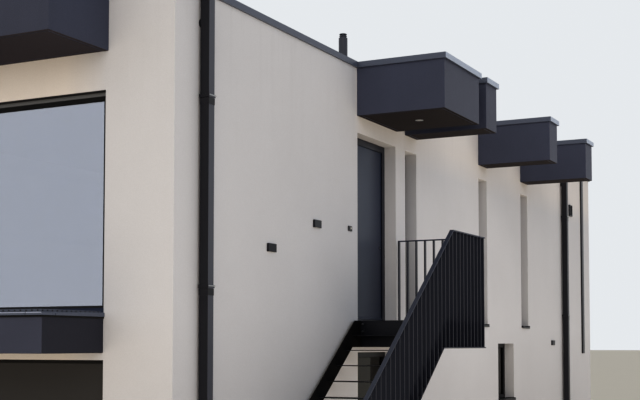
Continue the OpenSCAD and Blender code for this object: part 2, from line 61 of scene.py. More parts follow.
HALF_TURN = Matrix.Rotation(math.pi, 4, "Z")  # turns the street end into the rear end
QUARTER_TURN = Matrix.Rotation(math.pi / 2, 4, "Z")
SIDE_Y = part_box("side_wall_front")[0].y       # outer face of the wall with the entrance
STREET_X, REAR_X = (corner.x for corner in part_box("party_wall"))  # outer faces of the end walls
ROOF_LO, ROOF_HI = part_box("roof_slab")
FLOOR_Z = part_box("upper_floor")[1].z
PARAPET_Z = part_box("parapet_coping")[1].z
SIDE_CANOPIES = ("door_canopy", "slot_canopy_1", "slot_canopy_2", "slot_canopy_3")
END_CANOPIES = ("street_canopy", "rear_canopy")
FINE, SHEET, SMOOTH = 0.001, 0.0015, 0.002    # radii of arrises: small parts, cut metal, handled metal


# Small tools

def linear(code):
    """An sRGB hex colour as linear red, green, blue."""
    parts = [int(code[i:i + 2], 16) / 255 for i in (1, 3, 5)]
    return tuple(c / 12.92 if c <= 0.04045 else ((c + 0.055) / 1.055) ** 2.4 for c in parts)


def rgba(colour):
    return (*colour, 1.0)


def per_metre(millimetres):
    """Texture scale at which one feature of the pattern is this many millimetres."""
    return 1000 / millimetres


def assign(target, **settings):
    """Sets several properties of one thing."""
    for key, value in settings.items():
        setattr(target, key, value)
    return target


def select(*objs):
    """Selects these objects alone, the first one active."""
    bpy.ops.object.select_all(action="DESELECT")
    for obj in objs:
        obj.select_set(True)
    bpy.context.view_layer.objects.active = objs[0]


def apply_modifier(obj, kind, **settings):
    """Adds one modifier with its settings and applies it."""
    select(obj)
    mod = assign(obj.modifiers.new(kind.title(), kind), **settings)
    bpy.ops.object.modifier_apply(modifier=mod.name)
    return obj


def soften(obj, radius, segments=2, angle=30):
    """Rounds every edge sharper than angle and keeps the flat faces flat."""
    select(obj)
    bpy.ops.object.shade_smooth()
    return apply_modifier(obj, "BEVEL", width=radius, segments=segments, limit_method="ANGLE",
                          angle_limit=math.radians(angle), harden_normals=True)


def join(name, *objs):
    """Joins finished meshes into one."""
    select(*objs)
    if len(objs) > 1:
        bpy.ops.object.join()
    objs[0].name = objs[0].data.name = name
    return objs[0]


def block(name, lo, hi):
    """A cube primitive added at its size and place, its place in its mesh."""
    lo, hi = Vector(lo), Vector(hi)
    bpy.ops.object.select_all(action="DESELECT")
    bpy.ops.mesh.primitive_cube_add(size=1, location=(lo + hi) / 2)
    obj = assign(bpy.context.object, scale=hi - lo)
    bpy.ops.object.transform_apply()
    return join(name, obj)


def blocks(name, pairs):
    return join(name, *[block(name, lo, hi) for lo, hi in pairs])


def rod(name, radius, start, end, vertices=24):
    """A cylinder primitive from one point to another."""
    start, end = Vector(start), Vector(end)
    turn = (end - start).to_track_quat("Z", "Y").to_matrix().to_4x4()
    bpy.ops.object.select_all(action="DESELECT")
    bpy.ops.mesh.primitive_cylinder_add(vertices=vertices, radius=radius, depth=(end - start).length)
    obj = assign(bpy.context.object, matrix_world=Matrix.Translation((start + end) / 2) @ turn)
    bpy.ops.object.transform_apply()
    return join(name, obj)


def disc(name, radius, centre, axis, thickness, vertices=32):
    """A flat round disc, its middle given and its thickness along an axis."""
    step = Vector((0, 0, 0))
    step[axis] = thickness / 2
    return rod(name, radius, Vector(centre) - step, Vector(centre) + step, vertices)


def object_mode():
    bpy.ops.object.mode_set(mode="OBJECT")


def pick(obj, kind, test):
    """Enters edit mode and selects the faces or edges whose middle and normal or direction pass the test."""
    select(obj)
    bpy.ops.object.mode_set(mode="EDIT")
    bpy.ops.mesh.select_mode(type=kind)
    bpy.ops.mesh.select_all(action="DESELECT")
    mesh = bmesh.from_edit_mesh(obj.data)
    for part in mesh.faces if kind == "FACE" else mesh.edges:
        corners = [vert.co for vert in part.verts]
        way = part.normal if kind == "FACE" else (corners[1] - corners[0]).normalized()
        part.select_set(bool(test(sum(corners, Vector()) / len(corners), way)))
    bmesh.update_edit_mesh(obj.data)


def copies(name, obj, places):
    """Copies of a finished small part, each moved by a vector or turned by a matrix, as one mesh."""
    made = []
    for place in places:
        twin = assign(obj.copy(), data=obj.data.copy())
        twin.data.transform(place if isinstance(place, Matrix) else Matrix.Translation(place))
        bpy.context.collection.objects.link(twin)
        made.append(twin)
    bpy.data.objects.remove(obj)
    return join(name, *made)


def both_ends(name, obj):
    """A part of the street end together with its twin at the rear end."""
    return copies(name, obj, (Matrix.Identity(4), HALF_TURN))


def merge_triangles(obj):
    """Merges loose triangles into whole faces."""
    select(obj)
    bpy.ops.object.mode_set(mode="EDIT")
    bpy.ops.mesh.select_all(action="SELECT")
    bpy.ops.mesh.remove_doubles(threshold=0.00005)
    bpy.ops.mesh.dissolve_limited(angle_limit=math.radians(0.5))
    object_mode()
    return obj


def copy_of(name, node):
    """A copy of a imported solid, its loose triangles merged."""
    obj = bpy.data.objects.new(name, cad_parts[node].data.copy())
    obj.data.materials.clear()
    bpy.context.collection.objects.link(obj)
    join(name, obj)
    bpy.ops.mesh.customdata_custom_splitnormals_clear()
    return merge_triangles(obj)


def cut(obj, cutter, operation="DIFFERENCE"):
    """Takes the cutter's shape out of obj, or adds it, and removes the cutter."""
    apply_modifier(obj, "BOOLEAN", operation=operation, solver="EXACT", object=cutter)
    bpy.data.objects.remove(cutter)
    return obj


def fuse(name, *nodes):
    """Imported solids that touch, made one mesh without faces between them."""
    obj = copy_of(name, nodes[0])
    for node in nodes[1:]:
        cut(obj, copy_of(name + "_part", node), "UNION")
    return merge_triangles(obj)


def ring(name, lo, hi, width, axis):
    """A rectangular ring: the two faces across an axis, 0 for X to 2 for Z, are inset and bridged."""
    obj = block(name, lo, hi)
    pick(obj, "FACE", lambda centre, normal: abs(normal[axis]) > 0.5)
    bpy.ops.mesh.inset(thickness=width, depth=0, use_individual=True)
    bpy.ops.mesh.bridge_edge_loops()
    bpy.ops.mesh.select_all(action="SELECT")
    bpy.ops.mesh.normals_make_consistent(inside=False)
    object_mode()
    return obj


def hex_bolt(name, across=0.019, head=0.01, washer_t=0.002):
    """A hexagon bolt head on its washer, its axis along X, the seat at the origin and the head towards -X."""
    washer = soften(rod(name + "_washer", across * 0.62, (0, 0, 0), (-washer_t, 0, 0)), 0.0004, 1)
    nut = rod(name, across / math.sqrt(3), (-washer_t, 0, 0), (-washer_t - head, 0, 0), 6)
    return join(name, soften(nut, 0.0006, 1), washer)


def solid_boxes(node):
    """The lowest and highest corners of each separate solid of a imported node, in order of place."""
    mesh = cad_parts[node].data
    solids = []
    for face in mesh.polygons:
        spots = {tuple(round(c, 5) for c in mesh.vertices[i].co) for i in face.vertices}
        for touched in [solid for solid in solids if solid & spots]:
            solids.remove(touched)
            spots |= touched
        solids.append(spots)
    boxes = sorted([[min(c) for c in zip(*solid)], [max(c) for c in zip(*solid)]] for solid in solids)
    return [(Vector(lo), Vector(hi)) for lo, hi in boxes]


# Finishing

FINISHES = {}


def finish(obj, look, *stands_for, body="house"):
    """Gives a finished piece its material, slot and body, and hides what it stands for."""
    obj.data.materials.clear()
    obj.data.materials.append(FINISHES[look])
    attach(obj, body)
    if stands_for:
        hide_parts(*stands_for)
    return obj


def dress(name, node, look, radius, segments=2, body="house"):
    """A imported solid's copy with rounded arrises, finished, in the solid's place."""
    return finish(soften(copy_of(name, node), radius, segments), look, node, body=body)


def fit(name, look, radius, pairs, segments=1, body="house"):
    """A small part of blocks, each given by two corners, its arrises rounded, finished."""
    return finish(soften(blocks(name, pairs), radius, segments), look, body=body)


def fit_ends(name, look, pairs):
    """A small part of blocks at the street end and its twin at the rear end, finished."""
    return finish(both_ends(name, soften(blocks("street_" + name, pairs), FINE, 1)), look)


def second_material(obj, look, test):
    """Gives the faces whose centre and normal pass the test another material."""
    obj.data.materials.append(FINISHES[look])
    for face in obj.data.polygons:
        if test(face.center, face.normal):
            face.material_index = len(obj.data.materials) - 1


def painted_face_tones(obj, front_axis, ends, soffit):
    """Gives a dark box's ends and underside their own tones of its render: painted light and shade, set by
    how each face is turned to the light.
    """
    second_material(obj, ends, lambda centre, normal: abs(normal[1 - front_axis]) > 0.7)
    second_material(obj, soffit, lambda centre, normal: normal.z < -0.7)


def paint(look, *nodes):
    """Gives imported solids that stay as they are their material."""
    for node in nodes:
        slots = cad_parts[node].material_slots
        if not slots:
            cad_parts[node].data.materials.append(FINISHES[look])
        for slot in slots:
            slot.material = FINISHES[look]


# Materials

def feed(node, *ordered, **named):
    """Sets inputs, in order or by name, to a value, a socket or a node's first output that is in use."""
    in_use = {socket.name.replace(" ", "_"): socket for socket in node.inputs if socket.enabled}
    pairs = [*zip(node.inputs, ordered), *[(in_use[key], value) for key, value in named.items()]]
    for socket, value in pairs:
        if isinstance(value, bpy.types.Node):
            value = next(output for output in value.outputs if output.enabled)
        if isinstance(value, bpy.types.NodeSocket):
            node.id_data.links.new(value, socket)
        else:
            socket.default_value = value
    return node


def add(tree, kind, *ordered, **rest):
    """Adds a node with its links and settings: a capitalised word names an input, a plain one a setting."""
    inputs = {key: value for key, value in rest.items() if key[0].isupper()}
    settings = {key: value for key, value in rest.items() if key[0].islower()}
    return feed(assign(tree.nodes.new("ShaderNode" + kind), **settings), *ordered, **inputs)


def new_material(name, **shader_inputs):
    """A node material with its shader; returns material, what adds a node to it, shader and coordinates."""
    mat = assign(bpy.data.materials.new(name), use_nodes=True)
    mat.node_tree.nodes.clear()
    node = partial(add, mat.node_tree)
    shader = node("BsdfPrincipled", **shader_inputs)
    node("OutputMaterial", shader)
    return mat, node, shader, node("TexCoord").outputs["Object"]


def colour_in(shader, base, *shares):
    """Feeds the shader a base colour times all of the shares."""
    for share in shares:
        base = add(shader.id_data, "VectorMath", base, Scale=share, operation="SCALE")
    feed(shader, Base_Color=base)


def painted_warm_bounce(node, axes, colour, sheltered):
    """Painted warm light on the white render: a warmer, brighter tone where a canopy or a ledge overhangs,
    standing in for light thrown up from the ground, between the end walls' piers and, half as much, along the
    side wall's head from the entrance canopy on."""
    half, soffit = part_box("street_ledge")[1].y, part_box("door_canopy")[0]
    off_x, off_y = (node("Math", axis, operation="ABSOLUTE") for axis in axes[:2])
    shares = [node("MapRange", *reach) for reach in (
        (off_y, half, half - 0.5), (off_x, REAR_X - 0.08, REAR_X - 0.01),
        (axes[2], soffit.z - 0.4, soffit.z), (axes[0], soffit.x - 0.1, soffit.x + 0.1))]
    ends = node("Math", *shares[:2], operation="MULTIPLY")
    head = node("Math", *shares[2:], operation="MULTIPLY")
    share = node("Math", head, 0.5, ends, operation="MULTIPLY_ADD")
    return node("Mix", Factor=share, A=rgba(colour), B=rgba(sheltered), data_type="RGBA")


def render_material(name, colour, grain_mm, cloud, roughness, shine=0.5, foot=1.0, rear=1.0, sheltered=None):
    """Scratch render: a mineral topcoat of sized grains bound with silicone resin, trowelled by hand.
    Matt, with faint clouds where the batches met, a trace of run-off under the roof's edge and, on white
    walls, painted shade: a slow darkening towards the ground and towards the rear, and painted warm light
    under canopies."""
    mat, node, shader, place = new_material(name, Roughness=roughness, Specular_IOR_Level=shine)
    clouds = node("TexNoise", place, Scale=per_metre(1600), Detail=5.0, Roughness=0.6)
    # the real grains are under 2 mm; they are drawn a few times coarser so that they show
    grains = node("TexNoise", place, Scale=per_metre(grain_mm), Detail=3.0, Roughness=0.7)
    stretched = node("Mapping", place, Scale=(per_metre(90), per_metre(90), per_metre(1900)))
    runs = node("TexNoise", stretched, Scale=1.0, Detail=3.0, Roughness=0.55)
    axes = list(node("SeparateXYZ", place).outputs)
    under_edge = node("MapRange", axes[2], PARAPET_Z - 1.7, PARAPET_Z)
    run_mask = node("MapRange", runs, 0.5, 0.72, 0.0, 0.04)
    clean = node("Math", 1.0, node("Math", under_edge, run_mask, operation="MULTIPLY"), operation="SUBTRACT")
    # painted shade: the white render darkens towards the ground
    low = node("MapRange", axes[2], 0.0, FLOOR_Z, foot, 1.0)
    # painted shade: the white render darkens towards the rear
    rear_shade = node("MapRange", axes[0], 0.5, 3.0, 1.0, rear)
    clouded, grained = (node("MapRange", pattern, 0.3, 0.7, 1 - depth, 1 + depth)
                        for pattern, depth in ((clouds, cloud), (grains, cloud * 1.3)))
    # painted warm light: a warmer tone under canopies and ledges
    base = painted_warm_bounce(node, axes, colour, sheltered) if sheltered else colour
    colour_in(shader, base, clouded, grained, clean, rear_shade, low)
    feed(shader, Normal=node("Bump", Height=grains, Strength=0.4, Distance=grain_mm / 2500))
    return mat


def coated_metal(name, colour, roughness, dust, shine=0.5):
    """Polyester powder coat on aluminium or steel: an even satin film with a faint orange peel,
    a little dust on what faces up and hardly visible duller patches where rain has dried."""
    mat, node, shader, place = new_material(name, IOR=1.5, Specular_IOR_Level=shine)
    patches = node("TexNoise", place, Scale=per_metre(420), Detail=4.0, Roughness=0.6)
    # the peel of the film is under 1 mm and is drawn at 5 mm so that it shows
    peel = node("TexNoise", place, Scale=per_metre(5), Detail=1.0)
    facing = node("SeparateXYZ", node("NewGeometry").outputs["Normal"]).outputs["Z"]
    up = node("MapRange", facing, 0.6, 1.0, 0.0, dust)
    dusty = node("Math", up, patches, operation="MULTIPLY")
    mixed = node("Mix", Factor=dusty, A=rgba(colour), B=rgba(linear("#8E8A82")), data_type="RGBA")
    feed(shader, Base_Color=mixed,
         Roughness=node("MapRange", patches, 0.3, 0.7, roughness - 0.015, roughness + 0.025),
         Normal=node("Bump", Height=peel, Strength=0.05, Distance=0.0003))
    return mat


def window_glass(name, colour, film_share):
    """Double glazing of float glass: smooth and part mirror, part clear. A solar-control film makes it
    mirror more of the sky, and float glass is never quite flat, so that a slow wave bends what it mirrors."""
    mat, node, shader, place = new_material(name, IOR=1.52, Metallic=film_share, Transmission_Weight=1.0,
                                            Base_Color=rgba(colour))
    film = node("TexNoise", place, Scale=per_metre(700), Detail=2.0)
    wave = node("TexNoise", place, Scale=per_metre(900), Detail=1.0)
    feed(shader, Roughness=node("MapRange", film, 0.35, 0.75, 0.0, 0.03),
         Normal=node("Bump", Height=wave, Strength=0.25, Distance=0.002))
    return mat


def cast_concrete(name, colour):
    """Cast concrete and cement-washed blocks: matt grey with clouds, pores and faint board marks."""
    mat, node, shader, place = new_material(name, Roughness=0.9)
    clouds = node("TexNoise", place, Scale=per_metre(700), Detail=6.0, Roughness=0.65)
    pore = node("MapRange", node("TexVoronoi", place, Scale=per_metre(35)), 0.05, 0.2, 0.75, 1.0)
    # one mark a metre: at scale 1 the bands repeat each 0.314 m
    boards = node("TexWave", place, 0.314 * per_metre(1000), 0.3, bands_direction="Z")
    colour_in(shader, colour, node("MapRange", clouds, 0.3, 0.7, 0.86, 1.12), pore,
              node("MapRange", boards.outputs["Fac"], 0.0, 0.04, 0.86, 1.0))
    feed(shader, Normal=node("Bump", Height=pore, Strength=0.4, Distance=0.002))
    return mat


def roof_membrane(name, colour):
    """Bitumen sheet with slate granules, torched down in rolls: dark, dull, glittering a little, with pale
    dust where puddles dried."""
    mat, node, shader, place = new_material(name, Roughness=0.85)
    # the granules are 1 to 2 mm and are drawn at 7 mm so that they show
    granules = node("TexVoronoi", place, Scale=per_metre(7))
    puddles = node("TexNoise", place, Scale=per_metre(1400), Detail=4.0)
    colour_in(shader, colour, node("MapRange", granules, 0.0, 0.7, 1.25, 0.75),
              node("MapRange", puddles, 0.55, 0.7, 1.0, 1.25))
    feed(shader, Normal=node("Bump", Height=granules, Strength=0.5, Distance=0.002))
    return mat


def brushed_metal(name, colour, roughness, brushed_mm):
    """Bare stainless steel, turned or brushed: bright, with fine scratches in one direction."""
    mat, node, shader, place = new_material(name, Metallic=1.0)
    fine = node("Mapping", place, Scale=(per_metre(brushed_mm), per_metre(brushed_mm), 8.0))
    scratch = node("TexNoise", fine, Scale=1.0, Detail=2.0)
    colour_in(shader, colour, node("MapRange", scratch, 0.3, 0.7, 0.85, 1.05))
    feed(shader, Roughness=node("MapRange", scratch, 0.0, 1.0, roughness - 0.08, roughness + 0.12))
    return mat


def mottled(name, code, other, patch_mm, roughness):
    """A plain material of two close tones in soft patches: black EPDM seals, dull and faintly bloomed; opal
    lamp glass, milky and smooth; mineral grit bonded to the treads, coarse and dull."""
    mat, node, shader, place = new_material(name, Roughness=roughness)
    patches = node("TexNoise", place, Scale=per_metre(patch_mm), Detail=3.0)
    mixed = node("Mix", Factor=patches, A=rgba(linear(code)), B=rgba(linear(other)), data_type="RGBA")
    feed(shader, Base_Color=mixed,
         Normal=node("Bump", Height=patches, Strength=0.2, Distance=patch_mm / 4000))
    return mat


# Finishes by what makes them: each with its colour, what it covers, its material's name and other values.
LOOKS = {
    render_material: {
        "dark_render": ("#404456", "fronts of canopies and ledges", "dark_scratch_render", 11, 0.13, 0.5),
        # Painted light and shade: the ends and undersides are copies of the dark render in tones set by how
        # each face is lit; the canopy ends are lighter and the undersides are lifted for light they don't
        # get.
        "dark_ends": ("#42475A", "ends of canopies", "dark_render_sheltered", 11, 0.1, 0.6),
        # painted shade: the ledge ends darker than the fronts
        "ledge_ends": ("#2B2D39", "ends of ledge boxes", "dark_render_ledge_ends", 11, 0.06, 0.7),
        "dark_soffit_painted_light": ("#39373A", "undersides of side canopies and ledges", "dark_render_underside",
                        11, 0.05, 0.95, 0.1),
        "end_soffit_painted_light": ("#424047", "undersides of end canopies", "dark_render_end_underside",
                       11, 0.05, 0.95, 0.1),
    },
    coated_metal: {
        "coping": ("#545B6C", "copings", "grey_coated_aluminium", 0.34, 0.2),
        # painted reflection: a lighter coat on the side canopies' coping fronts, standing in for the sky they
        # mirror
        "bright_coping": ("#9DA9BE", "side canopies' worn coping fronts", "worn_coated_aluminium", 0.34, 0.2),
        # the flue's own weathered coat; on the front downpipe's face towards the side it is painted sheen
        "weathered": ("#484B56", "flue and the front pipe's front", "weathered_dark_coat", 0.36, 0.1),
        # painted highlight: the rounded upper nose of a ledge's cap made light, as if catching the sky
        "nose": ("#B4BBCD", "worn bright edge of a ledge's cap", "polished_nose_edge", 0.3, 0.05),
        "frames": ("#1F2024", "window frames and sills", "black_coated_aluminium", 0.4, 0.15),
        "frame_head": ("#646669", "wide windows' head covers", "grey_coated_head_cover", 0.4, 0.05),
        "rail": ("#2B334C", "wide windows' bottom rails", "blue_black_coated_rail", 0.45, 0.05),
        "pipes": ("#1D1E25", "downpipes, duct and wall fittings", "black_coated_pipe", 0.36, 0.1),
        "door": ("#2F384D", "entrance door's leaf", "slate_coated_metal", 0.32, 0.05),
        "door_frame": ("#272B37", "entrance door's frame", "slate_coated_frame", 0.36, 0.05),
        "garage": ("#414142", "garage door", "brown_black_door_coat", 0.7, 0.05, 0.2),
        "steel": ("#1B1D25", "treads and landing", "black_coated_steel", 0.42, 0.22),
        "bars": ("#272A36", "balustrade's flat bars", "black_coated_bars", 0.42, 0.22),
        "stringers": ("#1C1C1E", "stair's stringers", "dull_black_steel", 0.8, 0.22, 0.1),
        "handrail": ("#3B4151", "handrail", "slate_coated_handrail", 0.42, 0.1),
    },
    window_glass: {
        "glass": ("#DCDFE9", "solar-control glass", "solar_control_glass", 0.55),
        "dark_glass": ("#1A1B1E", "grey glass of the lower windows", "grey_float_glass", 0.02),
    },
    cast_concrete: {"concrete": ("#98968F", "slabs and party wall", "cast_concrete")},
    roof_membrane: {"membrane": ("#77797C", "roof's membrane", "slated_roof_membrane")},
    brushed_metal: {"stainless": ("#B9BABB", "bolts, lock and clamps", "brushed_stainless_steel", 0.32, 0.8)},
}


def make_finishes(colours):
    """Every material of the house, kept in FINISHES by its plain name."""
    for make, looks in LOOKS.items():
        for look, (_, _, name, *values) in looks.items():
            FINISHES[look] = make(name, tuple(getattr(colours, look)), *values)
    FINISHES.update(
        # foot and rear darken the white render towards the ground and the rear: painted shade; the tone under
        # canopies is painted warm light
        white_render=render_material("white_scratch_render", tuple(colours.white_render), 9, 0.028, 0.92,
                                     foot=0.66, rear=0.9, sheltered=tuple(colours.sheltered)),
        rubber=mottled("black_rubber_seal", "#0E0E0F", "#18181A", 60, 0.7),
        grit=mottled("bonded_grit_strip", "#141416", "#2A2A2D", 4, 0.9),
        opal=mottled("opal_lamp_glass", "#F2F1EC", "#E4E2DC", 30, 0.25))


# Properties

def number(name, description, default, **settings):
    return bpy.props.FloatProperty(name=name, description=description, default=default, **settings)


def length(name, description, default):
    return number(name, description, default, min=0, unit="LENGTH", precision=4)


def colour_of(name, what, code):
    return bpy.props.FloatVectorProperty(name=name, description="Colour of the " + what, default=linear(code),
                                         subtype="COLOR", size=3, min=0, max=1)


class HouseColours(bpy.types.PropertyGroup):
    """Colours of the finishes"""

    white_render: colour_of("White render", "rendered walls", "#CACCD2")
    # painted warm light: the white render's tone under canopies and ledges
    sheltered: colour_of("Sheltered render", "white render under canopies", "#E3DEDA")


for looks in LOOKS.values():
    for look, (code, what, *_) in looks.items():
        HouseColours.__annotations__[look] = colour_of(look.replace("_", " ").capitalize(), what, code)


class HouseDetails(bpy.types.PropertyGroup):
    """Sizes of the fine detail"""

    render_arris: length("Render arris", "Radius of the rendered corners", 0.005)
    metal_arris: length("Metal arris", "Radius of folded metal edges", 0.0025)
    coping_run: length("Coping length", "Length of one piece of coping", 2.6)
    coping_joint: length("Coping joint", "Width of the joint between two copings", 0.007)
    cap_corner: length("Cap corner", "Leg of the corner pieces of a ledge's cap", 0.17)
    cap_joint: length("Cap joint", "Width of the joints in a ledge's cap", 0.006)
    cap_nose: length("Cap nose", "Radius of the rounded nose of a ledge's cap", 0.014)
    rivet_pitch: length("Rivet spacing", "Spacing of the rivets on a ledge's upstand", 0.067)
    bead: length("Glazing bead", "Width of the bead round each pane", 0.016)
    seal: length("Seal", "Width that shows of the seals round panes", 0.004)
    head_strip: length("Head strip", "Height of the black strip at the wide windows' head", 0.036)
    membrane_t: length("Membrane thickness", "Thickness of the roof sheet", 0.006)
    roll_w: length("Roll width", "Spacing of the laps in the roof sheet", 1.0)


class HouseStage(bpy.types.PropertyGroup):
    """Camera, floor and light"""

    eye: bpy.props.FloatVectorProperty(name="Camera place", description="Place of the camera", size=3,
                                       subtype="TRANSLATION", default=(-16.957, -9.161, 2.394))
    heading: number("Camera heading", "Turn of the camera about Z", math.radians(-63.162), subtype="ANGLE")
    tilt: number("Camera tilt", "Upward tilt of the camera", math.radians(3.259), subtype="ANGLE")
    lens: number("Focal length", "Focal length on a 36 mm wide sensor", 66.447, min=10)
    rise: number("Lens shift", "Upward shift of the lens, as a share of the width", 0.12)
    floor: colour_of("Floor", "pale floor", "#E6E0D3")
    sky: colour_of("Light", "soft light all round", "#E9ECEF")
    panel: number("Warm panel", "Brightness of the light from below", 0.6, min=0)


# Walls

class HOUSE_OT_walls(bpy.types.Operator):
    """Rendered outer walls in one skin, the party wall and the slabs"""

    bl_idname = "house.walls"
    bl_label = "Walls and slabs"

    def execute(self, context):
        nodes = ("side_wall_front", "side_wall_under_door", "side_wall_over_door", "side_wall_rear",
                 "street_piers", "street_bands", "rear_piers", "rear_bands")
        skin = soften(fuse("rendered_walls", *nodes), context.scene.house_details.render_arris)
        finish(skin, "white_render", *nodes)
        dress("party_wall_blocks", "party_wall", "concrete", 0.004)
        paint("concrete", "ground_slab", "upper_floor", "roof_slab")
        return {"FINISHED"}


# Copings

def coping_cutter(name, joints, width):
    """Thin blades across a coping's outer skin: each joint is (place, turn of the blade, its half length)."""
    blades = []
    for (x, y), angle, reach in joints:
        blade = block(name, (-width / 2, -reach, 0), (width / 2, reach, 0.2))
        blade.data.transform(Matrix.Translation((x, y, PARAPET_Z - 0.0035)) @ Matrix.Rotation(angle, 4, "Z"))
        blades.append(blade)
    return join(name, *blades)


class HOUSE_OT_copings(bpy.types.Operator):
    """Folded aluminium copings with butt joints and mitred corners"""

    bl_idname = "house.copings"
    bl_label = "Copings"

    def execute(self, context):
        sizes = context.scene.house_details
        coping = copy_of("parapet_copings", "parapet_coping")
        cut(coping, coping_cutter("coping_joints", self.parapet_joints(sizes), sizes.coping_joint))
        finish(soften(coping, sizes.metal_arris), "coping", "parapet_coping")
        caps = copy_of("canopy_coping_caps", "canopy_copings")
        cut(caps, coping_cutter("canopy_joints", self.canopy_joints(), sizes.coping_joint * 0.7))
        finish(soften(caps, sizes.metal_arris), "coping", "canopy_copings")
        # painted reflection: the side canopies' coping fronts get a lighter coat, standing in for the sky
        # they mirror
        second_material(caps, "bright_coping", lambda at, normal: at.y < SIDE_Y - 0.5 and normal.y < -0.7)
        return {"FINISHED"}

    def parapet_joints(self, sizes):
        """Butt joints along the four sides and mitres at the corners."""
        lo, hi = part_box("parapet_coping")
        joints = []
        count = round((hi.x - lo.x) / sizes.coping_run)
        for i in range(1, count):
            x = lo.x + i * (hi.x - lo.x) / count
            joints += [((x, lo.y), 0, 0.5), ((x, hi.y), 0, 0.35)]
        for side in (-1, 1):
            joints += [((side * hi.x, y), math.pi / 2, 0.5) for y in (-1.25, 1.25)]
            for y_out, y_in in ((lo.y, ROOF_LO.y), (hi.y, ROOF_HI.y)):
                corner = Vector((side * hi.x, y_out))
                inside = Vector((side * ROOF_HI.x, y_in))
                along = inside - corner
                joints.append((tuple((corner + inside) / 2), math.atan2(along.y, along.x) - math.pi / 2,
                               along.length / 2 + 0.02))
        return joints

    def canopy_joints(self):
        """Mitres at the canopies' free corners, and butt joints in the two long fronts."""
        joints = []
        for name in SIDE_CANOPIES + END_CANOPIES:
            lo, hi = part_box(name)
            for y, dy in ((lo.y, 1), (hi.y, -1)):
                for x, dx in ((lo.x, 1), (hi.x, -1)):
                    at_wall = abs(x) < REAR_X + 0.01 if name in END_CANOPIES else y > SIDE_Y - 0.01
                    if not at_wall:
                        turn = math.atan2(dy, dx) - math.pi / 2
                        joints.append(((x + dx * 0.04, y + dy * 0.04), turn, 0.11))
        for end in (-1, 1):
            joints += [((end * (REAR_X + 0.9), y), math.pi / 2, 0.16) for y in (-0.73, 0.73)]
        return joints


# Canopies and ledges

def lining(name, lo, hi, thickness):
    """A tray of roof sheet: a block without its top, given the sheet's thickness inwards."""
    tray = block(name, lo, hi)
    pick(tray, "FACE", lambda centre, normal: normal.z > 0.5)
    bpy.ops.mesh.delete(type="FACE")
    object_mode()
    return apply_modifier(tray, "SOLIDIFY", thickness=thickness, offset=-1)


class HOUSE_OT_canopies(bpy.types.Operator):
    """Box canopies in dark render with a drip groove below and roof sheet in their trays"""

    bl_idname = "house.canopies"
    bl_label = "Canopies"

    def execute(self, context):
        sizes = context.scene.house_details
        inset, wide, edge, deep = 0.045, 0.012, 0.09, 0.06
        trays = []
        for node in SIDE_CANOPIES + END_CANOPIES:
            lo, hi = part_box(node)
            canopy = copy_of(node + "_box", node)
            cut(canopy, ring("drip_groove", (lo.x + inset, lo.y + inset, lo.z - 0.02),
                             (hi.x - inset, hi.y - inset, lo.z + 0.008), wide, 2))
            finish(soften(canopy, sizes.render_arris, angle=40), "dark_render", node)
            # painted light: the ends and undersides get lit copies of the dark render
            if node in END_CANOPIES:
                painted_face_tones(canopy, 0, "dark_ends", "end_soffit_painted_light")
            else:
                painted_face_tones(canopy, 1, "dark_ends", "dark_soffit_painted_light")
            # the tray runs to the wall, and to the edge on the other three sides
            low = Vector((lo.x + edge, lo.y + edge, hi.z - deep))
            high = Vector((hi.x - edge, hi.y - edge, hi.z - 0.004))
            if node == "street_canopy":
                high.x = hi.x
            elif node == "rear_canopy":
                low.x = lo.x
            else:
                high.y = hi.y
            trays.append(lining("canopy_sheet", low, high, sizes.membrane_t))
        finish(join("canopy_roof_sheets", *trays), "membrane")
        return {"FINISHED"}


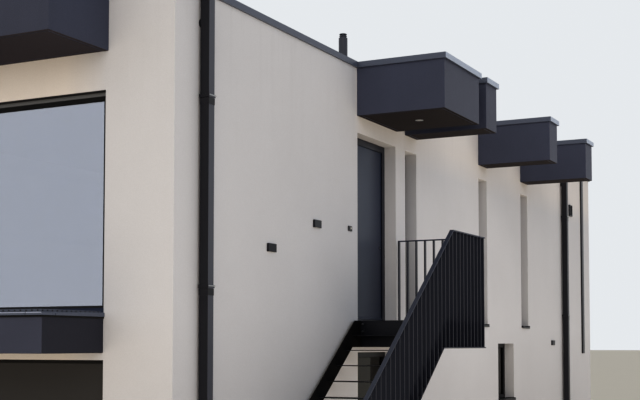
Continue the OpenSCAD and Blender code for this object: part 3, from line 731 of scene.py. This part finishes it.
class HOUSE_OT_ledges(bpy.types.Operator):
    """Ledge boxes under the wide windows, their nosed caps and riveted upstands"""

    bl_idname = "house.ledges"
    bl_label = "Ledges"

    def execute(self, context):
        sizes = context.scene.house_details
        for node in ("street_ledge", "rear_ledge"):
            ledge = dress(node + "_box", node, "dark_render", sizes.render_arris)
            # painted shade: the ledge ends get a darker copy of the dark render, the underside a lifted one
            painted_face_tones(ledge, 0, "ledge_ends", "dark_soffit_painted_light")
        self.caps(sizes)
        self.upstands(sizes)
        self.drip_seals()
        return {"FINISHED"}

    def caps(self, sizes):
        """The caps, cut into corner pieces and runs, with a rounded nose on three sides."""
        hi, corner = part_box("ledge_caps")[1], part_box("rear_ledge")[1]
        caps = copy_of("ledge_cap_sheets", "ledge_caps")
        half, z0, z1 = sizes.cap_joint / 2, hi.z - 0.1, hi.z + 0.01
        corner_x, corner_y = corner.x - sizes.cap_corner, corner.y - sizes.cap_corner
        for end in (-1, 1):
            x = end * corner_x
            for y in (-corner_y, 0.0, corner_y):
                x0, x1 = sorted((end * (REAR_X - 0.01), end * (hi.x + 0.01)))
                cut(caps, block("cap_joint", (x0, y - half, z0), (x1, y + half, z1)))
            for side in (-1, 1):
                y0, y1 = sorted((side * (corner_y - 0.001), side * (hi.y + 0.01)))
                cut(caps, block("cap_joint", (x - half, y0, z0), (x + half, y1, z1)))

        def nose(at, along):
            outer = max(abs(at.x) - hi.x, abs(at.y) - hi.y) > -0.0005
            return outer and abs(along.z) < 0.5 and at.z > FLOOR_Z - 0.005

        pick(caps, "EDGE", nose)
        bpy.ops.mesh.bevel(offset=sizes.cap_nose, segments=4, affect="EDGES")
        object_mode()
        finish(soften(caps, 0.0012, 1, 40), "coping", "ledge_caps")
        # painted highlight on the rounded upper nose facing the street or the rear
        second_material(caps, "nose", lambda at, normal: abs(normal.x) > 0.25 and normal.z > 0.2)

    def upstands(self, sizes):
        """The strip that holds the roof sheet behind each nose, with its rivets."""
        lo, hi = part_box("ledge_caps")
        back, thick, foot, top = 0.045, 0.004, FLOOR_Z - 0.012, FLOOR_Z + 0.029
        x0, y0, y1 = lo.x + back, lo.y + back, hi.y - back
        rivet = soften(rod("rivet", 0.008, (0.001, 0, 0), (-0.004, 0, 0), 12), SHEET, 1)
        z = top - 0.012
        places = []
        for i in range(int((y1 - y0 - 0.04) / sizes.rivet_pitch) + 1):
            places.append(Matrix.Translation((x0, y0 + 0.03 + i * sizes.rivet_pitch, z)))
        for i in range(int((STREET_X - x0 - 0.04) / sizes.rivet_pitch) + 1):
            x = x0 + 0.03 + i * sizes.rivet_pitch
            places.append(Matrix.Translation((x, y0, z)) @ QUARTER_TURN)
            places.append(Matrix.Translation((x, y1, z)) @ QUARTER_TURN.inverted())
        finish(both_ends("ledge_rivets", copies("street_rivets", rivet, places)), "frames")
        middle, wall = x0 + thick / 2, STREET_X - 0.002
        fit_ends("ledge_upstands", "coping", [
            ((x0, y0, foot), (x0 + thick, y1, top)),
            ((middle, y0, foot), (wall, y0 + thick, top)),
            ((middle, y1 - thick, foot), (wall, y1, top))])

    def drip_seals(self):
        """A thin black strip on the box's faces right under the nose, which draws a dark line below it."""
        lo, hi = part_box("ledge_caps")
        box_lo, box_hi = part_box("street_ledge")
        x0, y0, y1, wall = lo.x + 0.012, lo.y + 0.005, hi.y - 0.005, STREET_X - 0.001
        z0, z1 = lo.z - 0.017, lo.z + 0.0005
        fit_ends("drip_seals", "rubber", [
            ((x0, y0, z0), (box_lo.x + 0.001, y1, z1)),
            ((box_lo.x + 0.0005, y0, z0), (wall, box_lo.y + 0.001, z1)),
            ((box_lo.x + 0.0005, box_hi.y - 0.001, z0), (wall, y1, z1))])


# Openings

class HOUSE_OT_door(bpy.types.Operator):
    """Entrance door: frame with seal and threshold strip, flush leaf with weather bar, lock and lever"""

    bl_idname = "house.door"
    bl_label = "Entrance door"

    def execute(self, context):
        lo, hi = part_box("door_frame")
        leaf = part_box("door_leaf")[0]
        dress("entrance_frame", "door_frame", "door_frame", SHEET)
        dress("entrance_leaf", "door_leaf", "door", SMOOTH, body="entrance_door")

        # the seal in the gap behind the lip, along both jambs and the head
        lip_in, lip_back, show, hide = 0.085, 0.01, 0.002, 0.007
        x0, x1, z1 = lo.x + lip_in, hi.x - lip_in, hi.z - lip_in
        front, rear, foot = lo.y + lip_back + 0.0003, leaf.y - 0.0012, leaf.z - 0.004
        fit("entrance_seal", "rubber", 0.0006, [
            ((x0 - hide, front, foot), (x0 + show, rear, z1 + hide)),
            ((x1 - show, front, foot), (x1 + hide, rear, z1 + hide)),
            ((x0 + show, front, z1 - show), (x1 - show, rear, z1 + hide))])
        fit("threshold_strip", "stainless", 0.0008, [
            ((lo.x + 0.076, lo.y + 0.004, leaf.z - 0.0055), (hi.x - 0.076, hi.y - 0.004, leaf.z - 0.003))])

        # the weather bar on the leaf's foot, its top sloping to shed rain
        bar = block("weather_bar", (x0 + 0.006, leaf.y - 0.016, leaf.z + 0.006),
                    (x1 - 0.018, leaf.y + 0.001, leaf.z + 0.03))
        pick(bar, "EDGE", lambda at, along: abs(along.x) > 0.9 and at.z - at.y > leaf.z - leaf.y + 0.04)
        bpy.ops.mesh.bevel(offset=0.013, segments=1, affect="EDGES")
        object_mode()
        finish(soften(bar, FINE, 1), "door", body="entrance_door")
        self.lock()
        return {"FINISHED"}

    def lock(self):
        """The roses with the key cylinder outside and the lever inside."""
        dress("door_lock_roses", "door_lock", "steel", SMOOTH, body="entrance_door")
        lo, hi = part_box("door_lock")
        x, z = (lo.x + hi.x) / 2, (lo.z + hi.z) / 2
        barrel = disc("key_cylinder", 0.0085, (x, lo.y - 0.0005, z), 1, 0.003, 24)
        cut(barrel, block("keyway", (x - 0.0012, lo.y - 0.01, z - 0.006), (x + 0.0012, lo.y, z + 0.004)))
        finish(soften(barrel, 0.0005, 1), "stainless", body="entrance_door")
        neck = rod("inner_lever", 0.009, (x, hi.y - 0.001, z), (x, hi.y + 0.05, z), 20)
        grip = block("lever_grip", (x - 0.125, hi.y + 0.04, z - 0.01), (x + 0.01, hi.y + 0.056, z + 0.01))
        soften(grip, 0.004, 3)
        finish(join("inner_lever", soften(neck, FINE, 1), grip), "stainless", body="entrance_door")


def pane_ring(lo, hi, near, far, width):
    """A ring inside the edge of a pane, from near to far off the middle of the glass."""
    axis = 0 if hi.x - lo.x < hi.y - lo.y else 1
    middle = (lo[axis] + hi[axis]) / 2
    a, b = lo.copy(), hi.copy()
    a[axis], b[axis] = sorted((middle + near, middle + far))
    return ring("pane_ring", a, b, width, axis)


class HOUSE_OT_windows(bpy.types.Operator):
    """Window frames with beads and seals round every pane, glass, sills and the wide windows' rails"""

    bl_idname = "house.windows"
    bl_label = "Windows"

    def execute(self, context):
        sizes = context.scene.house_details
        for kind in ("wide_window", "slot_window", "low_window"):
            dress(kind + "_frame_set", kind + "_frames", "frames", SHEET)
        paint("glass", "upper_glass")
        lower = finish(copy_of("lower_panes", "lower_glass"), "dark_glass", "lower_glass")
        second_material(lower, "glass", lambda at, normal: at.x > REAR_X - 0.5)
        self.glazing(sizes)
        self.wide_windows(sizes)
        self.sills()
        return {"FINISHED"}

    def glazing(self, sizes):
        """A seal and a bead round each pane, on both its faces."""
        lo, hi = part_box("slot_window_frames")
        face = (hi.y - lo.y) / 2 - 0.004
        beads, seals = [], []
        for lo, hi in solid_boxes("upper_glass") + solid_boxes("lower_glass"):
            glass = min(hi - lo) / 2
            rim = glass + sizes.seal
            for side in (-1, 1):
                seals.append(pane_ring(lo, hi, side * glass, side * rim, sizes.bead + sizes.seal))
                beads.append(soften(pane_ring(lo, hi, side * rim, side * face, sizes.bead), SMOOTH, 1))
        finish(join("glazing_beads", *beads), "frames")
        finish(join("glazing_seals", *seals), "rubber")

    def wide_windows(self, sizes):
        """The trim, cover and black strip at each wide window's head, and the cover on its bottom rail."""
        lo, hi = solid_boxes("wide_window_frames")[0]
        fit_ends("window_head_strips", "rubber", [
            ((lo.x + 0.003, pane_lo.y + 0.0005, pane_hi.z - sizes.head_strip),
             (pane_lo.x - 0.0005, pane_hi.y - 0.0005, pane_hi.z - 0.0005))
            for pane_lo, pane_hi in solid_boxes("upper_glass") if pane_hi.x < hi.x])
        fit_ends("window_head_trims", "frames", [
            ((STREET_X + 0.003, lo.y + 0.001, hi.z - 0.008), (lo.x + 0.001, hi.y - 0.001, hi.z - 0.0005))])
        fit_ends("window_head_covers", "frame_head", [
            ((lo.x - 0.004, lo.y + 0.001, hi.z - 0.046), (lo.x + 0.001, hi.y - 0.001, hi.z - 0.0085))])
        cover = block("rail_cover", (lo.x - 0.003, lo.y + 0.002, lo.z + 0.004),
                      (lo.x + 0.001, hi.y - 0.002, lo.z + 0.062))
        pick(cover, "FACE", lambda centre, normal: normal.x < -0.5)
        bpy.ops.mesh.inset(thickness=0.006, depth=-0.0015)
        object_mode()
        finish(both_ends("bottom_rail_covers", soften(cover, 0.0006, 1)), "rail")

    def sills(self):
        """The sheet sills, turned up a little at both ends, with a drip edge at the front."""
        dress("metal_sills", "window_sills", "frames", 0.003)
        ends = []
        for lo, hi in solid_boxes("window_sills"):
            for x in (lo.x, hi.x - 0.004):
                ends.append(((x, lo.y - 0.0005, lo.z + 0.004), (x + 0.004, SIDE_Y + 0.15, hi.z + 0.012)))
            ends.append(((lo.x, lo.y - 0.0015, lo.z - 0.014), (hi.x, lo.y + 0.0015, lo.z + 0.01)))
        fit("sill_ends", "frames", 0.0008, ends)


class HOUSE_OT_garage(bpy.types.Operator):
    """Sectional garage door with its seals, kept shut"""

    bl_idname = "house.garage"
    bl_label = "Garage door"

    def execute(self, context):
        lo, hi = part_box("garage_door")
        dress("garage_door_sections", "garage_door", "garage", 0.003)
        out, back, head = 0.012, lo.x + 0.001, hi.z - 0.035
        fit("garage_seals", "rubber", SMOOTH, [
            ((lo.x - out, lo.y + 0.001, head), (back, hi.y - 0.001, hi.z - 0.001)),
            ((lo.x - out / 2, lo.y + 0.001, lo.z), (back, lo.y + 0.02, head)),
            ((lo.x - out / 2, hi.y - 0.02, lo.z), (back, hi.y - 0.001, head)),
            ((lo.x - out / 2, lo.y + 0.02, lo.z), (back, hi.y - 0.02, lo.z + 0.025))], 2)
        return {"FINISHED"}


# Stair

class HOUSE_OT_stair(bpy.types.Operator):
    """Stringers, plate treads with grit strips, end plates with bolts, foot plates and the landing"""

    bl_idname = "house.stair"
    bl_label = "Stair"

    def execute(self, context):
        dress("stair_plate_stringers", "stair_stringers", "stringers", SHEET)
        dress("stair_plate_treads", "stair_treads", "steel", SHEET)
        dress("landing_beams", "landing_frame", "steel", SHEET)
        dress("landing_plate", "landing_deck", "steel", SHEET)
        treads = solid_boxes("stair_treads")
        # a thin strip of bonded grit along each nosing and the landing's edge
        fit("grit_strips", "grit", 0.0006, [
            ((lo.x + 0.012, lo.y + 0.06, hi.z - 0.0005), (lo.x + 0.052, hi.y - 0.06, hi.z + 0.0015))
            for lo, hi in treads + [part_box("landing_deck")]])
        self.end_plates(treads[0])
        self.foot_plates()
        return {"FINISHED"}

    def end_plates(self, tread):
        """The plates that fix the stringers to the landing's beam, each with two bright bolts."""
        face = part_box("landing_frame")[0].x
        thick, plates, bolts = 0.008, [], []
        for y, side in ((tread[1].y, -1), (tread[0].y, 1)):
            y0, y1 = sorted((y, y + side * 0.05))
            plates.append(((face - thick, y0, FLOOR_Z - 0.172), (face, y1, FLOOR_Z - 0.015)))
            bolts += [Vector((face - thick, y + side * 0.024, FLOOR_Z - drop)) for drop in (0.042, 0.13)]
        fit("stringer_end_plates", "steel", FINE, plates)
        finish(copies("end_plate_bolts", hex_bolt("beam_bolt"), bolts), "stainless")

    def foot_plates(self):
        """A bolted plate under the foot of each stringer."""
        thick, plates, bolts = 0.01, [], []
        for lo, hi in solid_boxes("stair_stringers"):
            y = (lo.y + hi.y) / 2
            plates.append(((lo.x, y - 0.06, 0.0), (lo.x + 0.18, y + 0.06, thick)))
            bolts += [Vector((lo.x + x, y + side * 0.035, thick)) for x in (0.03, 0.15) for side in (-1, 1)]
        fit("stringer_feet", "steel", FINE, plates)
        bolt = hex_bolt("foot_bolt")
        bolt.data.transform(Matrix.Rotation(math.pi / 2, 4, "Y"))
        finish(copies("foot_bolts", bolt, bolts), "stainless")


class HOUSE_OT_balustrade(bpy.types.Operator):
    """Flat-bar balustrades and handrail"""

    bl_idname = "house.balustrade"
    bl_label = "Balustrade"

    def execute(self, context):
        for part in ("flight", "landing"):
            dress(part + "_bars", part + "_balustrade", "bars", 0.0012)
        dress("flat_handrail", "handrail", "handrail", SMOOTH)
        return {"FINISHED"}


# Fittings

def clamp_heights(node):
    """Middle heights of a downpipe's clamps, which are its widest parts."""
    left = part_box(node)[0].x
    levels = sorted({round(vert.co.z, 4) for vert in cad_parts[node].data.vertices
                     if abs(vert.co.x - left) < 0.0005})
    return [(a + b) / 2 for a, b in zip(levels[::2], levels[1::2])]


class HOUSE_OT_pipes(bpy.types.Operator):
    """Square downpipes with sleeves and bolted clamps, and their roof outlets with leaf guards"""

    bl_idname = "house.pipes"
    bl_label = "Downpipes"

    def execute(self, context):
        grip = 0.005
        sleeves, ears, straps, bolts = [], [], [], []
        for node in ("front_downpipe", "rear_downpipe"):
            tube = dress(node + "_tube", node, "pipes", 0.005, 3)
            # painted sheen: the front downpipe's face towards the side gets the lighter weathered coat
            if node == "front_downpipe":
                second_material(tube, "weathered", lambda at, normal: normal.y < -0.7)
            lo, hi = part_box(node)
            back = hi.y - 0.025
            y = (lo.y + back) / 2 - 0.012
            x0, x1 = hi.x - 0.002, hi.x + 0.018
            x = (x0 + x1) / 2 + 0.002
            for z in clamp_heights(node):
                sleeves.append(ring("pipe_sleeve", (lo.x + grip, lo.y + grip, z - 0.085),
                                    (hi.x - grip, back + 0.003, z - 0.02), 0.0035, 2))
                straps.append(((lo.x + 0.004, lo.y - 0.003, z), (hi.x + 0.012, lo.y + 0.001, z + 0.012)))
                ears += [((x0, y + gap, z - 0.014), (x1, y + gap + 0.004, z + 0.014))
                         for gap in (-0.005, 0.001)]
                bolts.append(rod("clamp_bolt", 0.004, (x, y - 0.014, z), (x, y + 0.013, z), 8))
        finish(soften(join("pipe_sleeves", *sleeves), FINE, 1), "pipes")
        fit("clamp_ears", "pipes", FINE, ears)
        fit("clamp_straps", "stainless", FINE, straps)
        finish(join("clamp_bolts", *bolts), "frames")
        dress("parapet_outlets", "roof_outlets", "pipes", SMOOTH)
        self.leaf_guards()
        return {"FINISHED"}

    def leaf_guards(self):
        """A cage of bars on the roof round each outlet."""
        bars = []
        for lo, hi in solid_boxes("roof_outlets"):
            x, y, z = (lo.x + hi.x) / 2, hi.y + 0.004, ROOF_HI.z + 0.006
            for i in range(7):
                turn = math.pi * i / 6
                at = (x + 0.08 * math.cos(turn), y + 0.08 * math.sin(turn))
                bars.append(rod("guard_bar", 0.003, (*at, z), (*at, z + 0.12), 8))
            lid = disc("guard_lid", 0.086, (x, y, z + 0.122), 2, 0.004, 24)
            half = block("lid_half", (x - 0.1, hi.y - 0.1, z), (x + 0.1, hi.y + 0.002, z + 0.2))
            bars.append(cut(lid, half))
        finish(soften(join("leaf_guards", *bars), 0.0008, 1), "stainless")


class HOUSE_OT_fittings(bpy.types.Operator):
    """Lamps, bell, vent, duct, downlight and flue"""

    bl_idname = "house.fittings"
    bl_label = "Fittings"

    def execute(self, context):
        dress("box_lamps", "wall_lamps", "pipes", 0.003)
        dress("bell_plate", "door_bell", "pipes", 0.003)
        dress("louvred_vent", "wall_vent", "pipes", SMOOTH)
        dress("flat_duct", "wall_duct", "pipes", 0.004)
        dress("roof_flue", "flue", "weathered", SMOOTH)
        dress("recessed_downlight", "canopy_downlight", "stainless", FINE)
        lo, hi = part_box("canopy_downlight")
        middle = (lo + hi) / 2
        lenses = [disc("downlight_lens", 0.037, (middle.x, middle.y, lo.z + 0.009), 2, 0.004)]
        for lo, hi in solid_boxes("wall_lamps"):
            for z0, z1 in ((lo.z - 0.001, lo.z + 0.006), (hi.z - 0.006, hi.z + 0.001)):
                lenses.append(soften(block("lamp_lens", (lo.x + 0.014, lo.y + 0.006, z0),
                                           (hi.x - 0.014, hi.y - 0.006, z1)), 0.0005, 1))
        finish(join("lamp_lenses", *lenses), "opal")
        self.bell_button()
        self.flue_flashing()
        return {"FINISHED"}

    def bell_button(self):
        """A framed opal button on the bell's plate, off its middle."""
        lo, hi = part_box("door_bell")
        x, z, back = (lo.x + hi.x) / 2 + 0.01, (lo.z + hi.z) / 2 + 0.005, lo.y + 0.001
        half, rim_w = 0.015, 0.003
        rim = ring("bell_rim", (x - half, lo.y - 0.002, z - half), (x + half, back, z + half), rim_w, 1)
        finish(soften(rim, 0.0005, 1), "pipes")
        half -= rim_w
        fit("bell_button", "opal", FINE,
            [((x - half, lo.y - 0.0012, z - half), (x + half, back, z + half))], 2)

    def flue_flashing(self):
        """The collar that seals the flue to the roof sheet: a flange with a cone."""
        lo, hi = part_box("flue")
        middle = (lo + hi) / 2
        flange = disc("flue_flashing", 0.2, (middle.x, middle.y, ROOF_HI.z + 0.009), 2, 0.006, 48)
        pick(flange, "FACE", lambda centre, normal: normal.z > 0.9)
        bpy.ops.mesh.inset(thickness=0.055, depth=0)
        bpy.ops.mesh.inset(thickness=0.05, depth=0.09)
        object_mode()
        finish(soften(flange, 0.003, 2, 20), "rubber")


class HOUSE_OT_roof(bpy.types.Operator):
    """Roof sheet laid in lapped rolls, with its upstands and the bar that holds them"""

    bl_idname = "house.roof"
    bl_label = "Roof sheet"

    def execute(self, context):
        sizes = context.scene.house_details
        t = sizes.membrane_t
        lo, hi = ROOF_LO.copy(), ROOF_HI.copy()
        lo.z, hi.z = ROOF_HI.z, PARAPET_Z - 0.02
        sheet = lining("roof_sheet", lo, hi, t)
        count = round((hi.x - lo.x) / sizes.roll_w)
        laps = []
        for i in range(1, count):
            x = lo.x + i * ((hi.x - lo.x) / count)
            laps.append(((x - 0.05, lo.y + t, lo.z + t - 0.001), (x + 0.05, hi.y - t, lo.z + t + 0.004)))
        finish(join("roof_sheet", sheet, soften(blocks("roof_laps", laps), SMOOTH, 1)), "membrane")
        lo, hi = Vector((lo.x + t, lo.y + t, hi.z - 0.09)), Vector((hi.x - t, hi.y - t, hi.z - 0.05))
        bar = ring("upstand_bar", lo, hi, 0.003, 2)
        finish(soften(bar, 0.0008, 1), "coping")
        return {"FINISHED"}


# Stage

def set_up(context, data, **settings):
    """Links a light or the camera to the scene, with its object's settings."""
    obj = assign(bpy.data.objects.new(data.name, data), **settings)
    context.scene.collection.objects.link(obj)
    return obj


class HOUSE_OT_stage(bpy.types.Operator):
    """Pale floor, soft light and the camera"""

    bl_idname = "house.stage"
    bl_label = "Stage"

    def execute(self, context):
        stage = context.scene.house_stage
        bpy.ops.object.select_all(action="DESELECT")
        bpy.ops.mesh.primitive_plane_add(size=900, location=(0, 0, 0))
        floor = assign(context.object, name="floor")
        mat, node, shader, place = new_material("pale_floor", Roughness=0.95)
        mottle = node("TexNoise", place, Scale=per_metre(2500), Detail=3.0)
        colour_in(shader, tuple(stage.floor), node("MapRange", mottle, 0.0, 1.0, 0.98, 1.02))
        floor.data.materials.append(mat)
        self.lights(context, stage)
        lens = assign(bpy.data.cameras.new("camera"), sensor_width=36, lens=stage.lens, shift_y=stage.rise,
                      clip_end=2000)
        turn = (math.pi / 2 + stage.tilt, 0, stage.heading)
        context.scene.camera = set_up(context, lens, location=stage.eye, rotation_euler=turn)
        assign(context.scene.view_settings, view_transform="Standard", look="High Contrast")
        return {"FINISHED"}

    def lights(self, context, stage):
        """Soft light all round, a panel over the floor, a key and a fill."""
        world = assign(bpy.data.worlds.new("soft_light"), use_nodes=True)
        node = partial(add, world.node_tree)
        # the light all round is brightest low down, as from tall screens round the set
        rise = node("SeparateXYZ", node("TexCoord").outputs["Generated"]).outputs["Z"]
        feed(world.node_tree.nodes["Background"], rgba(stage.sky), node("MapRange", rise, 0.3, 0.7, 0.7, 0.3))
        context.scene.world = world

        # a wide warm panel just over the floor lifts the undersides
        wide, deep = 46, 38
        panel = assign(bpy.data.lights.new("warm_panel", "AREA"), shape="RECTANGLE", size=wide, size_y=deep,
                       energy=stage.panel * math.pi * wide * deep, color=(1.0, 0.83, 0.64))
        set_up(context, panel, location=(0, 0, 0.02), rotation_euler=(math.pi, 0, 0), visible_camera=False,
               visible_glossy=False)

        # a warm key along the street front and a faint cool fill on the side wall
        for name, travel, energy, tone in (("soft_key", (0.85, 0.35, -0.25), 0.8, (1.0, 0.87, 0.72)),
                                           ("cool_fill", (0.0, 1.0, -0.15), 0.12, (0.15, 0.45, 1.0))):
            sun = assign(bpy.data.lights.new(name, "SUN"), angle=math.radians(60), energy=energy, color=tone)
            turn = Vector(travel).to_track_quat("-Z", "Y").to_euler()
            set_up(context, sun, rotation_euler=turn, visible_glossy=False)


class HOUSE_PT_panel(bpy.types.Panel):
    """Lists the pieces of the house"""

    bl_label = "End house"
    bl_idname = "HOUSE_PT_panel"
    bl_space_type = "VIEW_3D"
    bl_region_type = "UI"
    bl_category = "End house"

    def draw(self, context):
        for name in GROUPS:
            group, box = getattr(context.scene, name), self.layout.box()
            for key in group.bl_rna.properties.keys():
                if key not in ("rna_type", "name"):
                    box.prop(group, key)
        for operator in OPERATORS:
            self.layout.operator(operator.bl_idname)


OPERATORS = (HOUSE_OT_walls, HOUSE_OT_copings, HOUSE_OT_canopies, HOUSE_OT_ledges, HOUSE_OT_door,
             HOUSE_OT_windows, HOUSE_OT_garage, HOUSE_OT_stair, HOUSE_OT_balustrade, HOUSE_OT_pipes,
             HOUSE_OT_fittings, HOUSE_OT_roof, HOUSE_OT_stage)
GROUPS = {"house_colours": HouseColours, "house_details": HouseDetails, "house_stage": HouseStage}


def register():
    for cls in (*GROUPS.values(), *OPERATORS, HOUSE_PT_panel):
        bpy.utils.register_class(cls)
    for name, group in GROUPS.items():
        setattr(bpy.types.Scene, name, bpy.props.PointerProperty(type=group))


def unregister():
    for name in GROUPS:
        delattr(bpy.types.Scene, name)
    for cls in (HOUSE_PT_panel, *reversed(OPERATORS), *GROUPS.values()):
        bpy.utils.unregister_class(cls)


def main():
    register()
    make_finishes(bpy.context.scene.house_colours)
    for operator in OPERATORS:
        group, name = operator.bl_idname.split(".")
        getattr(getattr(bpy.ops, group), name)()


if __name__ == "__main__":
    main()
